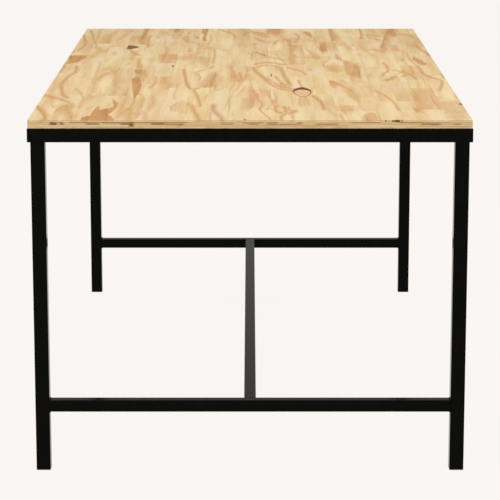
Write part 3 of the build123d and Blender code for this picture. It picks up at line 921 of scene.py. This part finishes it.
def srgb(red, green, blue):
    """A linear colour from its 0 to 255 display values."""

    def linear(value):
        share = value / 255
        return share / 12.92 if share <= 0.04045 else ((share + 0.055) / 1.055) ** 2.4

    return linear(red), linear(green), linear(blue)


PALE = srgb(230, 208, 162)
STRAW = srgb(218, 187, 132)
ROSY = srgb(230, 204, 168)
TAN = srgb(206, 159, 97)
ORANGE = srgb(194, 135, 77)
BROWN = srgb(128, 80, 44)
KNOT_PINK = srgb(224, 184, 136)
KNOT_TAN = srgb(206, 158, 106)
BARK = srgb(74, 24, 2)
BARK_BROWN = srgb(128, 62, 20)
RIM_BROWN = srgb(164, 98, 48)
GLUE = srgb(138, 98, 58)

# The grain patterns of two staves lie up to this many millimetres apart
OWN_SHIFT = 700.0
# Short dark marks that stand across a sawn ply edge: one over their width and height
PLY_TICK = (1 / 2.2, 1 / 2.2, 1 / 7)


def wood(name, grain_axis):
    """Pine, with its grain along grain_axis, 0 for X or 1 for Y."""
    n = Nodes(name)
    own = n.node("CombineXYZ", {2: n.times(n.attribute("own"), OWN_SHIFT)})[0]
    shifted = n.vector("ADD", n.place(), own)

    def grain(across, along):
        """The place, squeezed so that a pattern is across mm wide and along mm long."""
        sizes = [across, across, across]
        sizes[grain_axis] = along
        return n.vector("MULTIPLY", shifted, tuple(1 / size for size in sizes))

    def centred(value, size):
        return n.times(n.minus(value, 0.5), size)

    fibre = n.noise(grain(0.55, 34), detail=3, roughness=0.62)
    fleck = n.noise(grain(0.7, 9), detail=1)
    streak = n.noise(grain(3.2, 150), detail=3, roughness=0.55)
    cloud = n.noise(grain(26, 240), detail=2)
    patch = n.noise(grain(50, 300), detail=1)
    warp = n.noise(grain(12, 110), detail=3, roughness=0.5)

    # growth rings: pale early wood that darkens to a sharp edge
    ring = n.plus(n.attribute("ring"), n.plus(centred(warp, 0.2), centred(fibre, 0.05)))
    turn = n.math("FRACT", ring)
    late = n.math("POWER", n.ramp(turn, 0.25, 0.93), 1.8)
    edge_end = n.minus(1.0, n.ramp(turn, 0.95, 1.0))
    late = n.times(late, edge_end)
    shown = n.times(n.ramp(cloud, 0.38, 0.62), n.attribute("figure"))
    line = n.times(n.ramp(turn, 0.86, 0.93), edge_end)

    sweep = n.noise(grain(24, 380), detail=2)
    straw = n.plus(n.times(streak, 0.25), n.times(sweep, 0.75))
    colour = n.mix(n.ramp(straw, 0.36, 0.68), PALE, STRAW)
    colour = n.mix(n.times(n.ramp(patch, 0.5, 0.72), 0.7), colour, ROSY)
    colour = n.mix(n.times(n.times(late, shown), 0.8), colour, TAN)
    colour = n.mix(n.times(n.times(line, shown), 0.3), colour, ORANGE)
    tinted = n.times(n.attribute("heart"), n.between(sweep, 0.45, 1.55))
    colour = n.mix(tinted, colour, n.mix(streak, TAN, ORANGE))
    band = n.attribute("band")
    if grain_axis == 1:
        frayed = n.plus(centred(fibre, 0.35), centred(streak, 0.5))
        band = n.math("MULTIPLY", band, n.plus(1.0, frayed), clamp=True)
        band_share = n.times(band, n.between(streak, 0.7, 1.1))
        colour = n.mix(band_share, colour, n.mix(band, TAN, ORANGE))
    else:
        tick = n.noise(n.vector("MULTIPLY", shifted, PLY_TICK), detail=2)
        colour = n.mix(n.times(n.ramp(tick, 0.5, 0.72), 0.1), colour, BROWN)
        colour = n.mix(n.times(band, n.between(tick, 0.8, 1.2)), colour, BROWN)

    # stains, knots and glue
    ragged = n.plus(n.attribute("stain"), n.plus(centred(warp, 0.5), centred(streak, 0.45)))
    stain = n.times(n.ramp(ragged, -0.03, 0.26), n.attribute("stain_strength"))
    colour = n.mix(stain, colour, n.mix(streak, TAN, ORANGE))
    rim = n.times(n.math("POWER", stain, 3.0), n.minus(1.0, n.ramp(ragged, 0.1, 0.45)))
    colour = n.mix(n.times(rim, 0.32), colour, RIM_BROWN)
    inner = n.times(n.times(stain, late), 0.4)
    colour = n.mix(inner, colour, RIM_BROWN)
    colour = n.mix(n.times(n.ramp(fleck, 0.66, 0.76), 0.3), colour, ORANGE)

    lightness = n.plus(n.times(n.attribute("light"), 0.03), n.between(fibre, 0.93, 1.07))
    tint = n.node("CombineXYZ", {0: lightness, 1: lightness, 2: lightness})[0]
    colour = n.mix(1.0, colour, tint, "MULTIPLY")

    def inside(label):
        edge = n.plus(n.attribute(label), centred(warp, 0.1))
        return n.minus(1.0, n.ramp(edge, 0.93, 1.04))

    def rings(label, count):
        """Fine rings round a knot's middle, each darker towards its outer edge."""
        turned = n.plus(n.times(n.attribute(label), count), centred(warp, 1.1))
        return n.ramp(n.math("FRACT", turned), 0.35, 0.95)

    bark = n.mix(rings("knot", 6.0), BARK_BROWN, BARK)
    colour = n.mix(n.times(inside("knot"), n.attribute("bark")), colour, bark)
    grown = n.times(rings("knot_core", 5.0), n.between(streak, 0.4, 1.2))
    core = n.mix(grown, KNOT_PINK, KNOT_TAN)
    colour = n.mix(inside("knot_core"), colour, core)
    colour = n.mix(n.times(n.attribute("seam"), 0.75), colour, GLUE)

    relief = n.minus(fibre, n.times(line, 0.4))
    sheen = n.between(n.times(fibre, streak), 0.62, 0.42)
    n.coat(colour, sheen, 0.2, n.bump(relief, 0.06 * MM, 0.5))
    return n.material


def powder_coat():
    """Satin black powder coat with a faint orange peel, a little dust and rubbed spots."""
    n = Nodes("black_powder_coat")
    place = n.place()
    peel = n.noise(place, scale=0.9, detail=2)
    dust = n.noise(place, scale=0.045, detail=4, roughness=0.65)
    smear = n.noise(n.vector("MULTIPLY", place, (0.02, 0.02, 0.006)), detail=3)
    colour = n.mix(n.ramp(dust, 0.35, 0.8), (0.0008, 0.0008, 0.0007), (0.0020, 0.0019, 0.0017))
    n.coat(colour, n.between(smear, 0.08, 0.2), 0.05, n.bump(peel, 0.05 * MM, 0.35))
    return n.material


def moulded_plastic():
    """Black moulded plastic with a fine spark-eroded texture."""
    n = Nodes("black_moulded_plastic")
    place = n.place()
    texture = n.noise(place, scale=3.2, detail=2)
    scuff = n.noise(place, scale=0.3, detail=4, roughness=0.7)
    colour = n.mix(n.ramp(scuff, 0.4, 0.8), (0.002, 0.002, 0.002), (0.006, 0.006, 0.005))
    n.coat(colour, n.between(scuff, 0.5, 0.72), 0.08, n.bump(texture, 0.04 * MM, 0.5))
    return n.material


def zinc():
    """Bright zinc plate with a slight yellow-blue cast and a brushed head."""
    n = Nodes("zinc_plate")
    place = n.place()
    cloud = n.noise(place, scale=0.35, detail=3)
    scratch = n.noise(n.vector("MULTIPLY", place, (6, 1, 6)), detail=3)
    colour = n.mix(cloud, (0.52, 0.53, 0.56), (0.62, 0.58, 0.46))
    n.coat(colour, n.between(scratch, 0.24, 0.46), 0.5, n.bump(scratch, 0.02 * MM, 0.4))
    n.shader.inputs["Metallic"].default_value = 1.0
    return n.material


def pale_floor():
    """A plain pale studio floor that glows a little, so that shadows stay faint."""
    n = Nodes("studio_floor")
    for label, value in FLOOR_LOOK.items():
        n.shader.inputs[label].default_value = value
    return n.material


# ---- scene

def make_camera():
    data = bpy.data.cameras.new("camera")
    data.lens, data.sensor_width = CAMERA_LENS, CAMERA_SENSOR
    camera = put("camera", data)
    camera.location = (0, CAD_LOW.y - CAMERA_DISTANCE, CAMERA_HEIGHT)
    camera.rotation_euler = (math.pi / 2 - CAMERA_PITCH, 0, 0)
    bpy.context.scene.camera = camera


def make_floor():
    corners = [(x * FLOOR_REACH, y * FLOOR_REACH, 0) for x, y in ((-1, -1), (1, -1), (1, 1), (-1, 1))]
    mesh = bpy.data.meshes.new("floor")
    mesh.from_pydata(corners, [], [(0, 1, 2, 3)])
    mesh.materials.append(pale_floor())
    floor = put("floor", mesh)


def make_lamp(name, place, target, size, power):
    data = bpy.data.lights.new(name, "AREA")
    data.shape, data.size, data.energy = "DISK", size, power
    lamp = put(name, data)
    lamp.location = place
    lamp.rotation_euler = (Vector(target) - Vector(place)).to_track_quat("-Z", "Y").to_euler()


def make_light():
    """Soft light all round, with one softbox overhead and one in front."""
    world = bpy.data.worlds.new("studio")
    bpy.context.scene.world = world
    world.use_nodes = True
    background = world.node_tree.nodes["Background"]
    background.inputs["Color"].default_value = WORLD_COLOUR
    background.inputs["Strength"].default_value = WORLD_STRENGTH
    for lamp in LAMPS:
        make_lamp(*lamp)
    bpy.context.scene.view_settings.view_transform = "Standard"


def dress(nodes, material):
    """Gives carried-over CAD nodes their material."""
    for node in nodes:
        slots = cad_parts[node].material_slots
        if not slots:
            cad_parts[node].data.materials.append(material)
        for slot in slots:
            slot.material = material


make_camera()
make_floor()
make_light()

face_wood = wood("pine_stave", 1)
ply_wood = wood("pine_ply", 0)
made = []
for index, row_node in enumerate(FACE_ROWS):
    made.append((make_face_row(index + 1, row_node, face_wood), "pine_staves"))
made.append((make_back(face_wood), "pine_staves"))
made.append((make_cross_ply("upper_cross_ply", 71, 0.42, 0.0, ply_wood), "pine_plies"))
made.append((make_cross_ply("lower_cross_ply", 113, 0.0, 2.0, ply_wood), "pine_plies"))
coat = powder_coat()
for weld_node in ("leg_welds", "stretcher_welds"):
    made.append((make_beads(weld_node, coat), "black_steel"))
for piece, slot_name in made:
    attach(piece, "root")

steel = [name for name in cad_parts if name.startswith(("top_rail", "leg_", "end_stretcher", "long_"))]
dress([name for name in steel if not name.endswith("welds")], coat)
dress([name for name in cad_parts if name.startswith("foot_cap")], moulded_plastic())
dress(["panel_screws"], zinc())
